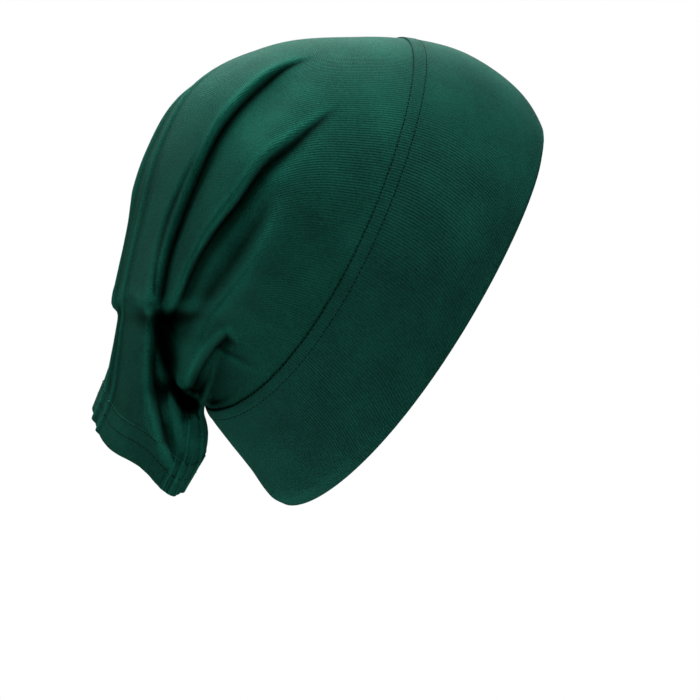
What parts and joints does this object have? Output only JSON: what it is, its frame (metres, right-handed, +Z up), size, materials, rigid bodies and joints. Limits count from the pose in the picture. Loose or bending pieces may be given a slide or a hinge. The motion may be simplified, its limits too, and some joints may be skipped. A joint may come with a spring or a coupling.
{
  "type": "knitted underscarf cap",
  "caption": "Close jersey tube cap with a wide doubled front band, a stitched seam, folds gathered behind the neck and an open hemmed end that hangs at the back.",
  "frame": {"origin": "on the inside of the crown, where the top of the head bears on it", "axes": "+Z up, the face looks along -Y, +X is the wearer's left"},
  "size_m": [0.1549, 0.2285, 0.233],
  "materials": {
    "band_jersey": "dark green cotton jersey, matt with a soft sheen",
    "crown_jersey": "dark green cotton jersey, single layer, matt with a soft sheen"
  },
  "bodies": {
    "root": {"front_band": "band_jersey", "seam_lap": "band_jersey", "crown_tube": "crown_jersey", "back_hem": "crown_jersey"}
  },
  "joints": []
}
